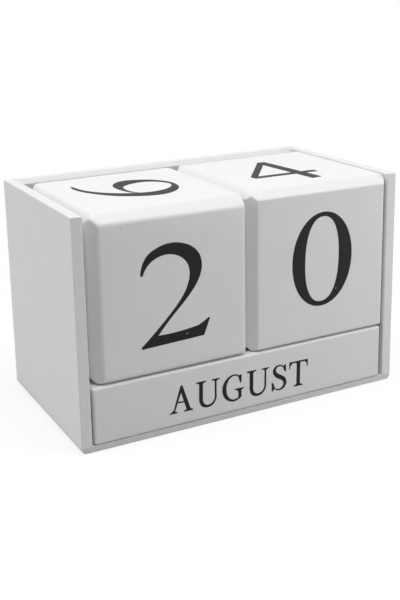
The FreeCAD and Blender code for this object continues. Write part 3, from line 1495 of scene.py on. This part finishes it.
@dataclass
class MonthBar:
    """A month bar, with a month's name on each of its four long sides."""

    node: str
    body: str
    months: Sequence[str]
    edge_round: float = 0.9 * MM
    letter_height: float = 10.0 * MM
    shift: Point = (-2.5 * MM, -0.95 * MM)
    turn: float = -0.8
    stretch: float = 1.014

    def dress(self, printer: Printer) -> None:
        """Paints the bar and prints its months.

        Args:
            printer: what prints them.
        """
        coat(self.node, paint_for(self.node, Axis.X, self.edge_round / 2))
        for month, side in zip(self.months, (Side.FRONT, Side.TOP, Side.BACK, Side.UNDERSIDE)):
            mark = Print(month, side, self.letter_height, self.shift, self.turn, self.stretch)
            printer.lay(mark, self.node, self.body)


def date_cubes() -> list[DateCube]:
    """Gives the date cubes, which between them show every date of a month.

    Returns:
        The left cube and the right one.
    """
    tall = 36 * MM
    left = [
        Print("2", Side.FRONT, 36.1 * MM, (1.4 * MM, -1.35 * MM), stretch=1.016),
        Print("6", Side.TOP, 35.6 * MM, (-0.9 * MM, 0.4 * MM), turn=90.0, stretch=1.04),
        Print("8", Side.LEFT, tall, (0.6 * MM, -0.5 * MM)),
        Print("1", Side.RIGHT, tall, (-0.4 * MM, 0.3 * MM)),
        Print("0", Side.BACK, tall, (0.3 * MM, 0.8 * MM)),
        Print("7", Side.UNDERSIDE, tall, (0.5 * MM, -0.4 * MM)),
    ]
    right = [
        Print("0", Side.FRONT, 35.7 * MM, (1.1 * MM, 1.35 * MM), stretch=1.008),
        Print("4", Side.TOP, 36.2 * MM, (-1.4 * MM, -1.65 * MM)),
        Print("3", Side.LEFT, tall, (-0.5 * MM, 0.6 * MM)),
        Print("5", Side.RIGHT, tall, (0.4 * MM, -0.6 * MM)),
        Print("1", Side.BACK, tall, (0.2 * MM, 0.5 * MM)),
        Print("2", Side.UNDERSIDE, tall, (-0.3 * MM, 0.3 * MM)),
    ]
    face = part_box("date_cube_left")[0].y
    left_stains = [(x * MM, face, z * MM) for x, z in ((-47.7, 76.8), (-5.2, 27.5))]
    right_places = ((52.6, 76.8), (56.3, 70.9), (56.5, 67.1), (55.9, 36.2), (55.0, 26.7))
    right_stains = [(x * MM, face, z * MM) for x, z in right_places]
    left_chamfers = [
        Chamfer(Side.FRONT, Side.LEFT, 3.9 * MM),
        Chamfer(Side.BACK, Side.LEFT, 3.5 * MM),
        Chamfer(Side.FRONT, Side.TOP, 3.9 * MM, spread=0.6 * MM),
        Chamfer(Side.LEFT, Side.TOP, 3.0 * MM),
        Chamfer(Side.LEFT, Side.UNDERSIDE, 2.3 * MM),
        Chamfer(Side.FRONT, Side.RIGHT, 0.8 * MM),
        Chamfer(Side.FRONT, Side.UNDERSIDE, 1.3 * MM),
    ]
    right_chamfers = [
        Chamfer(Side.FRONT, Side.LEFT, 3.3 * MM),
        Chamfer(Side.BACK, Side.LEFT, 3.0 * MM),
        Chamfer(Side.FRONT, Side.TOP, 3.1 * MM, spread=0.3 * MM),
        Chamfer(Side.LEFT, Side.TOP, 2.8 * MM),
        Chamfer(Side.LEFT, Side.UNDERSIDE, 1.9 * MM),
        Chamfer(Side.FRONT, Side.RIGHT, 1.5 * MM),
        Chamfer(Side.FRONT, Side.UNDERSIDE, 1.1 * MM),
    ]
    return [
        DateCube(
            "date_cube_left",
            "left_cube",
            left_chamfers,
            slim_leg=1.1 * MM,
            crispness=125,
            numerals=left,
            stains=left_stains,
        ),
        DateCube(
            "date_cube_right",
            "right_cube",
            right_chamfers,
            slim_leg=0.7 * MM,
            crispness=300,
            numerals=right,
            stains=right_stains,
        ),
    ]


def month_bars() -> list[MonthBar]:
    """Gives the three month bars.

    Returns:
        The bars, from the front to the rear.
    """
    return [
        MonthBar("month_bar_front", "front_bar", ("AUGUST", "JULY", "JUNE", "MAY")),
        MonthBar("month_bar_middle", "middle_bar", ("APRIL", "MARCH", "FEBRUARY", "JANUARY")),
        MonthBar("month_bar_rear", "rear_bar", ("DECEMBER", "NOVEMBER", "OCTOBER", "SEPTEMBER")),
    ]


# --- Stage ------------------------------------------------------------------------------------------------


@dataclass(frozen=True)
class SoftLamp:
    """A square area lamp that is aimed at a point."""

    name: str
    place: Place
    aim: Place
    size: float
    power: float

    def hang(self) -> None:
        """Makes the lamp."""
        light = bpy.data.lights.new(self.name, "AREA")
        light.size = self.size
        light.energy = self.power
        lamp = put(self.name, light)
        lamp.location = self.place
        lamp.rotation_euler = (Vector(self.aim) - Vector(self.place)).to_track_quat("-Z", "Y").to_euler()


@dataclass(frozen=True)
class ViewPoint:
    """The camera, whose turn is in degrees about each axis."""

    place: Place = (-0.17198, -0.32387, 0.15886)
    turn: tuple[float, float, float] = (75.757, 1.282, -27.134)
    lens: float = 59.72
    shift: Point = (20 / IMAGE_HEIGHT, -80 / IMAGE_HEIGHT)
    nearest: float = 0.01

    def set_up(self) -> None:
        """Makes the camera and makes it the scene's."""
        data = bpy.data.cameras.new("view")
        data.lens = self.lens
        data.shift_x, data.shift_y = self.shift
        data.clip_start = self.nearest
        camera = put("view", data)
        camera.location = self.place
        camera.rotation_euler = Euler([math.radians(angle) for angle in self.turn])
        bpy.context.scene.camera = camera


@dataclass
class Stage:
    """A plain pale floor, a white surround and soft studio light."""

    floor_half: float = 3.0
    floor_points: int = 13
    floor_drop: float = 0.05 * MM
    floor_level: float = 0.36
    shadow_share: float = 0.22
    shadow_near: float = 0.14
    shadow_far: float = 0.30
    world_light: float = 0.175
    lamps: Sequence[SoftLamp] = (
        SoftLamp("overhead", (0.0, -0.12, 0.90), (0.0, 0.0, 0.0), size=0.7, power=6.7),
        SoftLamp("left", (-0.72, 0.10, 0.30), (0.0, 0.0, 0.04), size=0.5, power=2.0),
        SoftLamp("right_front", (0.33, -0.26, 0.10), (0.0, 0.0, 0.04), size=0.25, power=0.65),
        SoftLamp("behind", (0.12, 0.60, 0.04), (0.0, 0.0, 0.04), size=0.07, power=0.7),
    )

    def build(self) -> None:
        """Makes the floor, the world, the lamps and the camera."""
        self.floor()
        self.surround()
        for lamp in self.lamps:
            lamp.hang()
        ViewPoint().set_up()
        bpy.context.scene.view_settings.view_transform = "Standard"

    def seen(self, nodes: NodeWriter) -> Value:
        """Tells what is seen from what only lights.

        Args:
            nodes: the writer of the material or world.

        Returns:
            1 for what is seen directly, in a reflection or through glass, and 0 for what lights.
        """
        path = nodes.add("ShaderNodeLightPath")
        return path["Is Camera Ray"].highest(path["Is Glossy Ray"]).highest(path["Is Transmission Ray"])

    def floor(self) -> None:
        """Makes the floor: x and y are the two parameters, scaled to the floor's half length."""
        ways = np.linspace(-1.0, 1.0, self.floor_points)
        u, v = (part.ravel() * self.floor_half for part in np.meshgrid(ways, ways))
        points = np.stack([u, v, np.full_like(u, -self.floor_drop)], axis=1)
        steps = np.arange(self.floor_points - 1)
        first = (steps[:, None] * self.floor_points + steps).ravel()
        faces = first[:, None] + [0, 1, self.floor_points + 1, self.floor_points]
        mesh = bpy.data.meshes.new("floor")
        mesh.from_pydata(points.tolist(), [], faces.tolist())
        mesh.materials.append(self.floor_material())
        put("floor", mesh)

    def floor_material(self) -> bpy.types.Material:
        """Makes the floor's material, which shows white with a soft shadow and lights as a pale floor.

        Returns:
            The material.
        """
        made = bpy.data.materials.new("pale_floor")
        nodes = NodeWriter(made)
        place = nodes.add("ShaderNodeTexCoord")["Object"]
        reach = nodes.add("ShaderNodeVectorMath", {"operation": "LENGTH"}, {0: place})["Value"]
        white = nodes.add("ShaderNodeEmission", None, {"Color": grey(1.0), "Strength": 1.0})["Emission"]
        matt = nodes.add("ShaderNodeBsdfDiffuse", None, {"Color": grey(1.0)})["BSDF"]
        pale = nodes.add("ShaderNodeBsdfDiffuse", None, {"Color": grey(self.floor_level)})["BSDF"]
        share = self.shadow_share * reach.fade(self.shadow_far, self.shadow_near)
        shown = nodes.add("ShaderNodeMixShader", None, {0: share, 1: white, 2: matt})["Shader"]
        both = nodes.add("ShaderNodeMixShader", None, {0: self.seen(nodes), 1: pale, 2: shown})["Shader"]
        nodes.output("ShaderNodeOutputMaterial", both)
        return made

    def surround(self) -> None:
        """Makes the world, which shows white and lights at a plain level."""
        world = bpy.data.worlds.new("surround")
        bpy.context.scene.world = world
        nodes = NodeWriter(world)
        strength = self.world_light + self.seen(nodes) * (1 - self.world_light)
        sockets = {"Color": grey(1.0), "Strength": strength}
        nodes.output("ShaderNodeOutputWorld", nodes.add("ShaderNodeBackground", None, sockets)["Background"])


def main() -> None:
    """Dresses each sub-assembly and builds the stage."""
    logging.basicConfig(level=logging.INFO, format="%(name)s: %(message)s")
    Holder().dress()
    printer = Printer()
    for block in [*date_cubes(), *month_bars()]:
        block.dress(printer)
    Stage().build()


if __name__ == "__main__":
    main()
